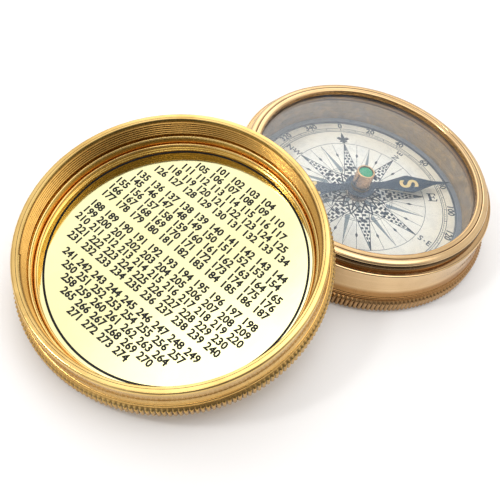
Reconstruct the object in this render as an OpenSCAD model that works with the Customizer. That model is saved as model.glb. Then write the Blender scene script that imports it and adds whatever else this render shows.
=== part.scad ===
// Pocket compass in a turned brass case with a screw lid, shown open:
// the lid lies mouth up, with its closed face leaning on the rim of the case.
// The case stands on z = 0 and its axis is the z axis. All sizes are in millimetres.

/* [Milled edges] */
// Diameter over the teeth of the two milled edges
rim_d = 75; // [66:0.5:90]
// Number of teeth round each milled edge
tooth_count = 200; // [120:4:240]
// Height of the teeth over their roots
tooth_depth = 0.45; // [0.25:0.05:0.6]
// Step from the tooth roots in to the plain corners
tooth_seat = 0.05; // [0.02:0.01:0.15]
// Bevel on the corners of the milled edges
rim_bevel = 0.5; // [0.2:0.05:0.8]
// Width of the round bead beside each milled edge
bead_w = 0.86; // [0.4:0.02:1]
// How far the bead lies in from the teeth
bead_inset = 0.9; // [0.6:0.05:1.2]
// Width and depth of the fine line over the bead
line_w = 0.2; // [0.1:0.05:0.4]

/* [Case] */
// Thickness of the milled edge of the case
case_rim_t = 3.84; // [3:0.02:5]
// Thickness of the floor of the case
case_floor_t = 1.8; // [1:0.1:2.4]
// Step from the teeth in to the wall of the case
case_step = 2.05; // [1.9:0.05:2.6]
// Height of the hollow curve at the foot of the wall
case_cove_h = 3.1; // [1.5:0.1:4]
// Height of the shoulder that the lid seats on
shoulder_h = 12.66; // [12:0.02:16]
// Width of the shoulder
shoulder_w = 1.6; // [1.2:0.05:2]
// Bevel on the outer corner of the shoulder
shoulder_bevel = 0.3; // [0.1:0.05:0.5]
// Height of the threaded neck over the shoulder
neck_h = 1.44; // [1.2:0.02:3]
// Wall of the neck beside the glass
neck_wall_t = 1.25; // [1:0.05:1.6]
// Bevel on the outer corner of the neck
neck_bevel = 0.12; // [0.05:0.01:0.2]
// Depth of the glass seat below the top of the neck
seat_depth = 1.8; // [1.7:0.05:2.4]
// Width of the ledge that carries the glass
seat_ledge_w = 1.1; // [0.8:0.05:1.5]
// Height of the step that centres a wall on its disc
register_h = 0.5; // [0.3:0.05:0.8]
// Width of the step that centres the wall of the case
case_register_w = 1; // [0.6:0.05:1.4]

/* [Bezel and glass] */
// Thickness of the bezel over the neck
bezel_t = 0.89; // [0.7:0.01:1.4]
// Groove between the neck and the bezel
bezel_gap = 0.35; // [0.2:0.05:0.6]
// How far the bezel lies in from the thread of the neck
bezel_inset = 0.1; // [0.05:0.05:0.3]
// Radius of the rounded outer edge of the bezel
bezel_round = 0.6; // [0.3:0.05:0.6]
// Width of the top of the bezel
bezel_w = 3.4; // [2.6:0.05:4]
// How far the fine groove lies in from the edge of the bezel
bezel_line_at = 1.75; // [1.2:0.05:2]
// Thickness of the glass
glass_t = 1.3; // [1:0.05:1.5]
// Thickness of the gasket under the glass
gasket_t = 0.3; // [0.2:0.05:0.4]
// Height of the ring that props the glass over the liner
prop_ring_h = 1; // [0.6:0.1:1.5]
// Width of the ring that props the glass over the liner
prop_ring_w = 1.05; // [0.8:0.05:1.3]

/* [Dial] */
// Thickness of the plate under the dial
plate_t = 0.8; // [0.5:0.05:1.2]
// Thickness of the dial card
card_t = 0.3; // [0.2:0.05:0.5]
// Thickness of the ring round the dial card
dial_ring_t = 0.5; // [0.3:0.05:0.8]
// Width of the ring round the dial card
dial_ring_w = 2.2; // [1.5:0.05:3]
// Thickness of the sleeve that lines the case
liner_t = 0.5; // [0.4:0.05:0.6]

/* [Needle] */
// Bearing of the south arm, counted from the x axis
needle_bearing = 34.7; // [-180:0.1:180]
// Gap between the tips of the needle and the ring round the dial
needle_tip_gap = 1; // [0.6:0.05:2]
// Thickness of the blade
blade_t = 0.4; // [0.25:0.05:0.5]
// Radius of the round middle of the blade
hub_r = 4.2; // [3.6:0.1:5]
// Width of the arms beside the middle
waist_w = 2.4; // [1.8:0.1:3.2]
// Greatest width of the arms
belly_w = 6.4; // [4:0.1:7]
// Length of the flat that blunts the corner of each belly
belly_flat = 0.8; // [0.2:0.1:1.4]
// Width of the arms where the slender point starts
point_w = 1.3; // [0.8:0.1:1.8]
// Room between the head of the pivot boss and the washer
needle_clearance = 1.7; // [1:0.05:2.2]
// Radius of the foot of the cap
cap_foot_r = 2.65; // [2.6:0.05:3.2]
// Radius of the top of the cap
cap_top_r = 2.5; // [2.4:0.05:2.8]
// Bevel round the top of the cap
cap_bevel = 0.15; // [0.05:0.01:0.2]
// Radius of the shank that is riveted through the blade
shank_r = 1.5; // [1.3:0.05:1.8]
// Radius of the washer under the blade
washer_r = 2.3; // [2:0.05:3]
// Thickness of the washer under the blade
washer_t = 0.3; // [0.2:0.05:0.4]
// Radius of the hole up the middle of the cap
cap_bore_r = 0.9; // [0.75:0.05:1.1]
// Radius of the jewel
jewel_r = 2; // [1.7:0.05:2.1]
// Thickness of the jewel
jewel_t = 1.35; // [1.1:0.05:1.6]
// How deep the jewel lies below the rim of the cap
jewel_recess = 0.35; // [0.1:0.05:0.5]
// Bevel round the face of the jewel
jewel_bevel = 0.15; // [0.05:0.01:0.2]
// Depth of the cup that turns on the pivot
jewel_cup_h = 0.6; // [0.4:0.05:0.7]
// Room between the cap and the glass
cap_clearance = 0.65; // [0.4:0.05:0.7]

/* [Pivot] */
// Radius of the pivot pin
pin_r = 0.35; // [0.25:0.05:0.45]
// Height of the point of the pin
point_h = 1.2; // [0.9:0.1:1.6]
// Gap between the point and its cup
point_gap = 0.06; // [0.03:0.01:0.1]
// Radius of the shank of the pivot boss
boss_shank_r = 1.2; // [0.9:0.05:1.5]
// Radius of the head of the pivot boss
boss_head_r = 3.2; // [2.4:0.05:3.6]
// Height of the head of the pivot boss
boss_head_h = 0.9; // [0.6:0.05:1.2]
// Rounding of the head of the pivot boss
boss_round = 0.55; // [0.2:0.05:0.55]

/* [Lid] */
// Thickness of the milled edge of the lid
lid_rim_t = 3.92; // [3:0.02:5]
// Thickness of the closed face of the lid
lid_floor_t = 1.15; // [0.8:0.05:1.6]
// Step from the teeth in to the wall of the lid
lid_step = 1.67; // [1.5:0.05:2.2]
// Height of the hollow curve at the foot of the wall
lid_cove_h = 1.5; // [0.8:0.1:2]
// Height of the lid to its lip
lid_h = 10.46; // [9.5:0.02:14]
// Height of the groove round the wall
lid_groove_at = 6.9; // [6.8:0.05:8]
// Width and depth of the groove round the wall
lid_groove_w = 0.45; // [0.2:0.05:0.6]
// Rounding of the outer corner of the lip
lip_round = 0.6; // [0.2:0.05:0.8]
// Bevel of the inner corner of the lip
lip_bevel = 0.3; // [0.1:0.05:0.4]
// Play between the thread of the neck and the lid
thread_play = 0.1; // [0.05:0.01:0.2]
// Width of the round ledge inside the foot of the wall
lid_register_w = 0.85; // [0.5:0.05:1.2]
// Thickness of the polished plate in the lid
lid_plate_t = 0.5; // [0.3:0.05:0.8]
// Width of the ring that holds the plate
plate_ring_w = 0.8; // [0.5:0.05:1.2]
// Height of the ring that holds the plate
plate_ring_h = 0.7; // [0.4:0.05:1]

/* [Lid placing] */
// How far the closed face reaches in over the bezel that it leans on
lid_overlap = 10.02; // [4:0.02:14]
// Bearing of the lid from the case
lid_bearing = -122.9; // [-180:0.1:180]
// How far the lid's fall turns from its bearing
lean_turn = 7.9; // [-10:0.1:10]
// Gap between the closed face and the bezel that it leans on
lean_gap = 0.15; // [0.1:0.01:0.3]

/* [Hidden] */
$fn = 144;

brass = "goldenrod";
steps = 6;             // straight pieces in a drawn arc
cut = 1;               // overrun of every cut
fit_gap = 0.05;        // room between round faces that fit together
waist_share = 0.27;    // where the straight waist of an arm ends, as a share of its reach
belly_share = 0.545;   // where the arm is widest, as a share of its reach
point_share = 0.82;    // where the slender point starts, as a share of its reach

// Radii, from the teeth inwards
rim_r = rim_d / 2;
root_r = rim_r - tooth_depth;
core_r = root_r - tooth_seat;
bead_r = rim_r - bead_inset;
case_r = rim_r - case_step;
thread_r = case_r - shoulder_w;
seat_r = thread_r - neck_wall_t;
bore_r = seat_r - seat_ledge_w;
inner_r = bore_r - fit_gap;
bezel_r = thread_r - bezel_inset;
dial_r = inner_r - dial_ring_w;
needle_reach = dial_r - needle_tip_gap;

// Heights, up the case
plate_z = case_floor_t;
card_z = plate_z + plate_t;
dial_ring_z = card_z + card_t;
liner_z = dial_ring_z + dial_ring_t;
neck_top = shoulder_h + neck_h;
ledge_z = neck_top - seat_depth;
prop_ring_z = ledge_z - prop_ring_h;
glass_z = ledge_z + gasket_t;
glass_top = glass_z + glass_t;
bezel_z = neck_top + bezel_gap;
bezel_top = bezel_z + bezel_t;

// Heights, up the needle and its pivot
cap_top = glass_z - cap_clearance;
jewel_top = cap_top - jewel_recess;
jewel_z = jewel_top - jewel_t;
boss_top = dial_ring_z + boss_head_h;
washer_z = boss_top + needle_clearance;
blade_z = washer_z + washer_t;
blade_top = blade_z + blade_t;
point_top = jewel_z + jewel_cup_h - point_gap;

// Radii in the lid, and heights over its closed face
lid_r = rim_r - lid_step;
lid_bore_r = thread_r + thread_play;
lid_register_r = lid_bore_r - fit_gap;
lid_recess_r = lid_register_r - lid_register_w;
lid_plate_r = lid_recess_r - fit_gap;
lid_plate_ring_z = lid_floor_t + lid_plate_t;

// The lid touches the ground with the edge of its closed face and leans on the bezel,
// so its tilt follows from the two heights. Each pass of lean() brings the tilt nearer.
edge_r = core_r - rim_bevel;
lean_bearing = lid_bearing + lean_turn;
lean_run = edge_r - lid_overlap;
lid_distance = (lean_run + bezel_r - bezel_round) / cos(lean_turn);
lean_rise = bezel_top - bezel_round;
lean_passes = 8;
function lean(tilt, passes) = passes == 0 ? tilt :
    lean(asin((lean_rise + (bezel_round + lean_gap) / cos(tilt)) / (edge_r + lean_run / cos(tilt))),
        passes - 1);
lid_tilt = lean(0, lean_passes);
lid_place = [
    lid_distance * cos(lid_bearing),
    lid_distance * sin(lid_bearing),
    edge_r * sin(lid_tilt)
];

// Points of an arc round the middle c, from angle a to angle b
function arc(c, r, a, b) = [
    for (i = [0:steps]) c + r * [cos(a + (b - a) * i / steps), sin(a + (b - a) * i / steps)]
];

// Hollow curve from a foot that stands out by w, up to the wall at radius r and height z
function cove(r, z, w, h) =
    let (bend = (w * w + h * h) / (2 * w), turn = asin(h / bend))
    arc([r + bend, z], bend, 180 + turn, 180);

// Bead and fine line over a milled edge of thickness t, as points going up
function bead(t) = concat(
    arc([bead_r - bead_w / 2, t + bead_w / 2], bead_w / 2, -90, 90),
    [[bead_r - bead_w / 2 - line_w, t + bead_w], [bead_r - bead_w / 2 - line_w, t + bead_w + line_w]]
);

// Solid disc with a milled edge, a recess inside it and a centring step on its top.
// The top of the step is round where round_step is true.
module milled_disc(rim_t, floor_t, recess_r, register_r, round_step) {
    step_top = rim_t + register_h;
    step_w = register_r - recess_r;
    step_points = round_step
        ? arc([register_r - step_w / 2, step_top - step_w / 2], step_w / 2, 0, 180)
        : [[register_r, step_top], [recess_r, step_top]];
    rotate_extrude() polygon(concat(
        [
            [0, 0], [edge_r, 0], [core_r, rim_bevel],
            [core_r, rim_t - rim_bevel], [edge_r, rim_t], [register_r, rim_t]
        ],
        step_points,
        [[recess_r, floor_t], [0, floor_t]]
    ));
    translate([0, 0, rim_bevel]) linear_extrude(rim_t - 2 * rim_bevel) difference() {
        polygon([for (i = [0:2 * tooth_count - 1])
            (i % 2 == 0 ? rim_r : root_r) * [cos(i * 180 / tooth_count), sin(i * 180 / tooth_count)]]);
        circle(r = edge_r);
    }
}

// Flat ring or disc that starts at height z
module ring(z, h, outer_r, hole_r) {
    translate([0, 0, z]) difference() {
        cylinder(h = h, r = outer_r);
        if (hole_r > 0) translate([0, 0, -cut]) cylinder(h = h + 2 * cut, r = hole_r);
    }
}

// Moves a piece from the lid's own frame, closed face down, to where the lid leans
module on_lid() {
    translate(lid_place) rotate([0, lid_tilt, lean_bearing]) children();
}

// Turned bottom of the case with its milled edge
module case_bottom() {
    color(brass)
    milled_disc(case_rim_t, case_floor_t, bore_r, bore_r + case_register_w - fit_gap, false);
}

// Turned wall of the case: bead, cove, shoulder, neck and glass seat
module case_wall() {
    register_r = bore_r + case_register_w;
    foot_top = case_rim_t + bead_w + line_w;
    color(brass)
    rotate_extrude() polygon(concat(
        [[register_r, case_rim_t]],
        bead(case_rim_t),
        cove(case_r, foot_top + case_cove_h, bead_r - bead_w / 2 - case_r, case_cove_h),
        [
            [case_r, shoulder_h - shoulder_bevel], [case_r - shoulder_bevel, shoulder_h],
            [thread_r, shoulder_h], [thread_r, neck_top - neck_bevel],
            [thread_r - neck_bevel, neck_top], [seat_r, neck_top],
            [seat_r, ledge_z], [bore_r, ledge_z],
            [bore_r, case_rim_t + register_h], [register_r, case_rim_t + register_h]
        ]
    ));
}

// Plate that stiffens the dial card and carries the pivot
module dial_plate() {
    color("darkkhaki") ring(plate_z, plate_t, inner_r, boss_shank_r + fit_gap);
}

// Printed dial card
module dial_card() {
    color("ivory") ring(card_z, card_t, inner_r, boss_shank_r + fit_gap);
}

// Flat ring that holds the edge of the card down
module dial_ring() {
    color("slategray") ring(dial_ring_z, dial_ring_t, inner_r, dial_r);
}

// Sleeve that lines the case between the dial and the glass
module case_liner() {
    color("tan") ring(liner_z, prop_ring_z - liner_z, inner_r, inner_r - liner_t);
}

// Brass ring on the liner, level with the glass seat
module glass_prop_ring() {
    color(brass) ring(prop_ring_z, prop_ring_h, inner_r, inner_r - prop_ring_w);
}

// Thin gasket between the seat and the glass
module glass_gasket() {
    color("dimgray") ring(ledge_z, gasket_t, seat_r - fit_gap, inner_r - prop_ring_w);
}

// Flat glass
module glass() {
    color("lightcyan", 0.3) ring(glass_z, glass_t, seat_r - fit_gap, 0);
}

// Bezel with a plug that is pressed into the neck and holds the glass
module bezel_ring() {
    opening_r = bezel_r - bezel_w;
    plug_r = seat_r - fit_gap;
    line_r = bezel_r - bezel_line_at;
    color(brass)
    rotate_extrude() polygon(concat(
        [[opening_r, glass_top], [plug_r, glass_top], [plug_r, bezel_z]],
        [[bezel_r, bezel_z]],
        arc([bezel_r - bezel_round, bezel_top - bezel_round], bezel_round, 0, 90),
        [[line_r, bezel_top], [line_r - line_w / 2, bezel_top - line_w], [line_r - line_w, bezel_top]],
        [[opening_r + line_w, bezel_top], [opening_r, bezel_top - line_w]]
    ));
}

// Boss that is riveted into the dial plate
module pivot_boss() {
    color("silver") difference() {
        rotate_extrude() polygon(concat(
            [[0, plate_z], [boss_shank_r, plate_z], [boss_shank_r, dial_ring_z], [boss_head_r, dial_ring_z]],
            arc([boss_head_r - boss_round, boss_top - boss_round], boss_round, 0, 90),
            [[0, boss_top]]
        ));
        translate([0, 0, plate_z - cut]) cylinder(h = boss_top + cut, r = pin_r);
    }
}

// Steel pin whose point carries the needle
module pivot_pin() {
    color("silver") rotate_extrude() polygon([
        [0, plate_z], [pin_r, plate_z], [pin_r, point_top - point_h], [0, point_top]
    ]);
}

// Blued blade with two arms, each with a straight waist, a wide belly and a slender point
module needle_blade() {
    belly_at = needle_reach * belly_share;
    side = [
        [needle_reach * waist_share, waist_w / 2],
        [belly_at - belly_flat / 2, belly_w / 2], [belly_at + belly_flat / 2, belly_w / 2],
        [needle_reach * point_share, point_w / 2], [needle_reach, 0]
    ];
    back = [for (i = [len(side) - 2:-1:0]) side[i]];
    color("darkslategray") translate([0, 0, blade_z]) rotate([0, 0, needle_bearing]) linear_extrude(blade_t)
    difference() {
        union() {
            circle(r = hub_r);
            polygon(concat(
                side, [for (p = back) [p[0], -p[1]]],
                [for (p = side) [-p[0], -p[1]]], [for (p = back) [-p[0], p[1]]]
            ));
        }
        circle(r = shank_r + fit_gap);
    }
}

// Washer that the shank of the cap is spread over
module needle_washer() {
    color("darkgoldenrod") ring(washer_z, washer_t, washer_r, shank_r + fit_gap);
}

// Brass cap with a thin rim round the seat for the jewel, and a shank through the blade
module needle_cap() {
    seat_wall_r = jewel_r + fit_gap;
    color("peru") rotate_extrude() polygon([
        [cap_bore_r, washer_z], [shank_r, washer_z], [shank_r, blade_top], [cap_foot_r, blade_top],
        [cap_top_r, cap_top - cap_bevel], [cap_top_r - cap_bevel, cap_top], [seat_wall_r, cap_top],
        [seat_wall_r, jewel_z], [cap_bore_r, jewel_z]
    ]);
}

// Green jewel: a flat polished face with a bevel, and a cup for the point below
module needle_jewel() {
    color("mediumseagreen") rotate_extrude() polygon([
        [jewel_cup_h, jewel_z], [jewel_r, jewel_z], [jewel_r, jewel_top - jewel_bevel],
        [jewel_r - jewel_bevel, jewel_top], [0, jewel_top], [0, jewel_z + jewel_cup_h]
    ]);
}

// Closed face of the lid with its milled edge
module lid_disc() {
    color(brass) on_lid()
    milled_disc(lid_rim_t, lid_floor_t, lid_recess_r, lid_register_r, true);
}

// Turned wall of the lid: bead, cove, groove, lip and bore
module lid_wall() {
    foot_top = lid_rim_t + bead_w + line_w;
    color(brass) on_lid()
    rotate_extrude() polygon(concat(
        [[lid_bore_r, lid_rim_t]],
        bead(lid_rim_t),
        cove(lid_r, foot_top + lid_cove_h, bead_r - bead_w / 2 - lid_r, lid_cove_h),
        [
            [lid_r, lid_groove_at - lid_groove_w / 2], [lid_r - lid_groove_w, lid_groove_at],
            [lid_r, lid_groove_at + lid_groove_w / 2]
        ],
        arc([lid_r - lip_round, lid_h - lip_round], lip_round, 0, 90),
        [[lid_bore_r + lip_bevel, lid_h], [lid_bore_r, lid_h - lip_bevel]]
    ));
}

// Polished plate on the floor of the lid
module lid_plate() {
    color("lightgoldenrodyellow") on_lid() ring(lid_floor_t, lid_plate_t, lid_plate_r, 0);
}

// Ring that holds the edge of the plate, with a round top
module lid_plate_ring() {
    color(brass) on_lid()
    rotate_extrude() polygon(concat(
        [[lid_plate_r - plate_ring_w, lid_plate_ring_z], [lid_plate_r, lid_plate_ring_z]],
        arc([lid_plate_r - plate_ring_w / 2, lid_plate_ring_z + plate_ring_h - plate_ring_w / 2],
            plate_ring_w / 2, 0, 180)
    ));
}

case_bottom();
case_wall();
dial_plate();
dial_card();
dial_ring();
case_liner();
glass_prop_ring();
glass_gasket();
glass();
bezel_ring();
pivot_boss();
pivot_pin();
needle_blade();
needle_washer();
needle_cap();
needle_jewel();
lid_disc();
lid_wall();
lid_plate();
lid_plate_ring();
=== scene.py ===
import math

import bmesh
import bpy
from mathutils import Matrix, Vector


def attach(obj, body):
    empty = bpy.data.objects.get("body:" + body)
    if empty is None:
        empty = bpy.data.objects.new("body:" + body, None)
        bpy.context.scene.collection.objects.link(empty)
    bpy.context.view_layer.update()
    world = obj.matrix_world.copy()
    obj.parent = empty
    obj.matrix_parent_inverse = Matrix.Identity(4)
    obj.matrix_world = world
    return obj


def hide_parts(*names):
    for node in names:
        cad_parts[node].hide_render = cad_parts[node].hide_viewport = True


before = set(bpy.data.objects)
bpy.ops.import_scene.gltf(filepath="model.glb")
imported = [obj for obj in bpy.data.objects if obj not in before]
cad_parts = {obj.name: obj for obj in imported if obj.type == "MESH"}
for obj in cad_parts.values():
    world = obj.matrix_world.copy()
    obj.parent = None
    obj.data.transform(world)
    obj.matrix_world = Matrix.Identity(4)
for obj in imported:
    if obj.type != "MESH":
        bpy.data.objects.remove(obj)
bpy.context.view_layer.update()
scene = bpy.context.scene
scene.view_settings.view_transform = "Standard"
mm = 0.001  # pieces are drawn in millimetres and placed in metres
fullTurn = 2 * math.pi

cameraView = {
    "distance": 0.198372,
    "elevation": 44.224,
    "swing": 6.307,  # to the side, in degrees
    "nod": 7.150,
    "roll": 23.723,
    "lens": 48.816,
    "sensor": 36,
    "clip": (0.01, 20),
}


def makeCamera(view):
    data = bpy.data.cameras.new("camera")
    data.lens = view["lens"]
    data.sensor_width = view["sensor"]
    data.clip_start, data.clip_end = view["clip"]
    camera = bpy.data.objects.new("camera", data)
    scene.collection.objects.link(camera)
    up = math.radians(view["elevation"])
    aim = Matrix(((1, 0, 0), (0, math.sin(up), -math.cos(up)), (0, math.cos(up), math.sin(up)))).to_4x4()
    turn = (
        Matrix.Rotation(-math.radians(view["nod"]), 4, "X")
        @ Matrix.Rotation(math.radians(view["swing"]), 4, "Y")
        @ Matrix.Rotation(math.radians(view["roll"]), 4, "Z")
    )
    spot = Vector((0, -math.cos(up), math.sin(up))) * view["distance"]
    camera.matrix_world = Matrix.Translation(spot) @ aim @ turn
    scene.camera = camera


makeCamera(cameraView)
print("camera set")


# The lid's own frame has its closed face on z = 0 and its mouth up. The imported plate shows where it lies.
def findLid(plate, top):
    upper = [face for face in plate.data.polygons if face.normal.z > 0.5]
    axis = sum((face.normal * face.area for face in upper), Vector()).normalized()
    middle = sum((face.center * face.area for face in upper), Vector()) / sum(face.area for face in upper)
    foot = middle - axis * top * mm
    heading = Matrix.Rotation(math.atan2(axis.y, axis.x), 4, "Z")
    return Matrix.Translation(foot) @ heading @ Matrix.Rotation(math.acos(axis.z), 4, "Y")


plateTop = 1.65  # height of the lid's plate over the lid's closed face
casePlace = Matrix.Identity(4)
dialPlace = Matrix.Rotation(math.radians(27.9), 4, "Z")  # in the dial's own frame, x points east
needlePlace = Matrix.Rotation(math.radians(34.7), 4, "Z")  # in the needle's own frame, x is the south arm
lidPlace = findLid(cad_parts["lid_plate"], plateTop)


# Helpers for nodes. What feeds a socket is another socket or a plain value.
def plug(tree, socket, value):
    if isinstance(value, bpy.types.NodeSocket):
        tree.links.new(value, socket)
    else:
        socket.default_value = value


def addNode(tree, kind, feeds=None, **settings):
    node = tree.nodes.new("ShaderNode" + kind)
    for name, value in settings.items():
        setattr(node, name, value)
    for name, value in (feeds or {}).items():
        plug(tree, node.inputs[name], value)
    return node


def mathNode(tree, operation, *values):
    return addNode(tree, "Math", dict(enumerate(values)), operation=operation).outputs[0]


def scaled(tree, value, factor, offset=0.0):
    return mathNode(tree, "MULTIPLY_ADD", value, factor, offset)


def mapRange(tree, value, low, high, to=(0, 1), kind="SMOOTHSTEP"):
    feeds = {"Value": value, "From Min": low, "From Max": high, "To Min": to[0], "To Max": to[1]}
    return addNode(tree, "MapRange", feeds, interpolation_type=kind).outputs["Result"]


def withAlpha(colour):
    return colour if isinstance(colour, bpy.types.NodeSocket) else (*colour, 1)


def mixColour(tree, share, first, second):
    feeds = {0: share, 6: withAlpha(first), 7: withAlpha(second)}  # 6 and 7 take colours
    return addNode(tree, "Mix", feeds, data_type="RGBA").outputs[2]


def cloudNoise(tree, where, scale, detail, distortion=0.0):
    feeds = {"Vector": where, "Scale": scale, "Detail": detail, "Distortion": distortion}
    return addNode(tree, "TexNoise", feeds).outputs[0]


def bump(tree, height, depth):
    feeds = {"Height": height, "Distance": depth * mm, "Strength": 1.0}
    return addNode(tree, "Bump", feeds).outputs[0]


def makeGroup(name, takes, gives):
    tree = bpy.data.node_groups.new(name, "ShaderNodeTree")
    for socket in takes:
        kind = "NodeSocketVector" if socket == "Place" else "NodeSocketFloat"
        tree.interface.new_socket(socket, in_out="INPUT", socket_type=kind)
    for socket in gives:
        tree.interface.new_socket(socket, in_out="OUTPUT", socket_type="NodeSocketFloat")
    return tree, tree.nodes.new("NodeGroupInput").outputs, tree.nodes.new("NodeGroupOutput").inputs


def useGroup(tree, group, **feeds):
    return addNode(tree, "Group", feeds, node_tree=group).outputs


# Fine rings left by the lathe, round the z axis of the piece
def makeLatheMarks():
    outputs = ("Marks", "Bands", "Radius", "Height")
    tree, takes, gives = makeGroup("latheMarks", ("Place", "Fineness"), outputs)
    parts = addNode(tree, "SeparateXYZ", {0: takes["Place"]}).outputs
    flat = addNode(tree, "CombineXYZ", {"X": parts["X"], "Y": parts["Y"]}).outputs[0]
    radius = addNode(tree, "VectorMath", {0: flat}, operation="LENGTH").outputs["Value"]
    divisor = mathNode(tree, "MAXIMUM", radius, 0.01)  # never zero, also on the axis
    drift = 0.9  # how much the rings change on the way round
    side = scaled(tree, mathNode(tree, "DIVIDE", parts["X"], divisor), drift)
    ahead = scaled(tree, mathNode(tree, "DIVIDE", parts["Y"], divisor), drift)
    for name, share, detail in (("Marks", 1.0, 3.0), ("Bands", 0.22, 1.0)):
        fine = scaled(tree, takes["Fineness"], share)
        ring = addNode(tree, "CombineXYZ", {
            "X": scaled(tree, radius, fine),
            "Y": scaled(tree, parts["Z"], fine),
            "Z": side,
        }).outputs[0]
        feeds = {"Vector": ring, "W": ahead, "Scale": 1.0, "Detail": detail}
        rings = addNode(tree, "TexNoise", feeds, noise_dimensions="4D").outputs[0]
        tree.links.new(mapRange(tree, rings, low=0.3, high=0.7, kind="LINEAR"), gives[name])
    tree.links.new(radius, gives["Radius"])
    tree.links.new(parts["Z"], gives["Height"])
    return tree


# Soft tarnish, finger smudges and small dark spots of handled brass
def makeHandling():
    tree, takes, gives = makeGroup("handling", ("Place", "Spots"), ("Tarnish", "Smudge", "Speck"))
    cloud = cloudNoise(tree, takes["Place"], scale=0.09, detail=4.0, distortion=0.6)
    tree.links.new(mapRange(tree, cloud, low=0.35, high=0.7), gives["Tarnish"])
    smear = cloudNoise(tree, takes["Place"], scale=0.33, detail=6.0, distortion=1.4)
    tree.links.new(mapRange(tree, smear, low=0.42, high=0.72), gives["Smudge"])
    cells = addNode(tree, "TexVoronoi", {"Vector": takes["Place"], "Scale": 0.28}).outputs
    chance = addNode(tree, "SeparateColor", {0: cells["Color"]}).outputs[0]
    rare = mathNode(tree, "GREATER_THAN", chance, mathNode(tree, "SUBTRACT", 1.0, takes["Spots"]))
    dot = mapRange(tree, cells["Distance"], low=0.05, high=0.12, to=(1, 0))
    tree.links.new(scaled(tree, dot, rare), gives["Speck"])
    return tree


# Paper fibre and the small unevenness of printing
def makePrintGrain():
    tree, takes, gives = makeGroup("printGrain", ("Place",), ("Fibre", "Fade"))
    fibre = cloudNoise(tree, takes["Place"], scale=3.4, detail=5.0, distortion=0.8)
    tree.links.new(mapRange(tree, fibre, low=0.3, high=0.7, kind="LINEAR"), gives["Fibre"])
    fade = cloudNoise(tree, takes["Place"], scale=0.16, detail=3.0)
    tree.links.new(mapRange(tree, fade, low=0.35, high=0.7), gives["Fade"])
    return tree


# A band of a turned piece: between two radii and two heights, with soft edges
def makeTurnedZone():
    limits = ("Inner", "Outer", "Low", "High")
    tree, takes, gives = makeGroup("turnedZone", ("Radius", "Height", *limits, "Soft"), ("Mask",))
    bands = []
    for start, end, across in (("Inner", "Outer", "Radius"), ("Low", "High", "Height")):
        before = mathNode(tree, "SUBTRACT", takes[start], takes["Soft"])
        after = mathNode(tree, "ADD", takes[end], takes["Soft"])
        rise = mapRange(tree, takes[across], before, takes[start])
        fall = mapRange(tree, takes[across], takes[end], after, to=(1, 0))
        bands.append(scaled(tree, rise, fall))
    tree.links.new(scaled(tree, *bands), gives["Mask"])
    return tree


latheMarks = makeLatheMarks()
handling = makeHandling()
printGrain = makePrintGrain()
turnedZone = makeTurnedZone()


def startMaterial(name, place):
    material = bpy.data.materials.new(name)
    material.use_nodes = True
    tree = material.node_tree
    tree.nodes.clear()
    back = place.to_3x3().transposed()  # from the room back into the piece's own frame
    perMetre = 1 / mm
    where = addNode(tree, "Mapping", {
        "Vector": addNode(tree, "TexCoord").outputs["Object"],
        "Location": back @ place.translation * -perMetre,
        "Rotation": back.to_euler(),
        "Scale": (perMetre, perMetre, perMetre),
    }).outputs[0]
    shader = addNode(tree, "BsdfPrincipled")
    tree.links.new(shader.outputs[0], addNode(tree, "OutputMaterial").inputs["Surface"])
    return material, tree, shader.inputs, where


def feed(tree, inputs, **values):
    names = {
        "roughness": "Roughness", "metallic": "Metallic", "normal": "Normal", "alpha": "Alpha",
        "specular": "Specular IOR Level", "ior": "IOR", "transmission": "Transmission Weight",
        "glow": "Emission Strength",
    }
    plug(tree, inputs["Base Color"], withAlpha(values.pop("colour")))
    for name, value in values.items():
        plug(tree, inputs[names[name]], value)


brassWear = {
    "marks": 0.05, "smudge": 0.08, "zone": 0.1,  # what each adds to the roughness
    "relief": 0.4,  # height of a smudge over that of a lathe mark
}


# Turned brass. Each zone is a band with its own tone: inner and outer radius, lowest and highest,
# width of its soft edges, tone, share. Most zones are painted shade in grooves, creases, recesses and
# under edges; some are a painted highlight or a painted darker reflection.
def makeBrass(name, place, look):
    material, tree, inputs, where = startMaterial(name, place)
    lathe = useGroup(tree, latheMarks, Place=where, Fineness=look["fineness"])
    aged = useGroup(tree, handling, Place=where, Spots=look["spots"])
    colour = mixColour(tree, scaled(tree, aged["Tarnish"], look["ageing"]), look["bright"], look["warm"])
    colour = mixColour(tree, scaled(tree, lathe["Bands"], look["banding"]), colour, look["warm"])
    roughness = scaled(tree, lathe["Marks"], brassWear["marks"], look["roughness"])
    roughness = scaled(tree, aged["Smudge"], brassWear["smudge"], roughness)
    for inner, outer, low, high, soft, tone, share in look["zones"]:
        band = useGroup(tree, turnedZone, Radius=lathe["Radius"], Height=lathe["Height"], Inner=inner,
                        Outer=outer, Low=low, High=high, Soft=soft)["Mask"]
        zone = scaled(tree, band, share)
        colour = mixColour(tree, zone, colour, look[tone])
        roughness = scaled(tree, zone, brassWear["zone"], roughness)
    colour = mixColour(tree, aged["Speck"], colour, look["dark"])
    relief = scaled(tree, aged["Smudge"], brassWear["relief"], lathe["Marks"])
    feed(tree, inputs, colour=colour, roughness=roughness, metallic=1.0,
         normal=bump(tree, relief, look["markDepth"]))
    return material


# Helpers for meshes
def arc(middle, radius, start, end, count=8, rise=None):
    angles = [math.radians(start + (end - start) * step / count) for step in range(count + 1)]
    rise = radius if rise is None else rise  # the upright half-axis, where the arc is part of an ellipse
    return [(middle[0] + radius * math.cos(angle), middle[1] + rise * math.sin(angle)) for angle in angles]


# A shallow curve between two points. Its middle stands off to the left of the way by the sag.
def bow(start, end, sag, count=4):
    first, last = Vector(start), Vector(end)
    away = Vector((first.y - last.y, last.x - first.x)).normalized() * sag * 4
    shares = [step / count for step in range(count + 1)]
    return [tuple(first.lerp(last, share) + away * share * (1 - share)) for share in shares]


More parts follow.
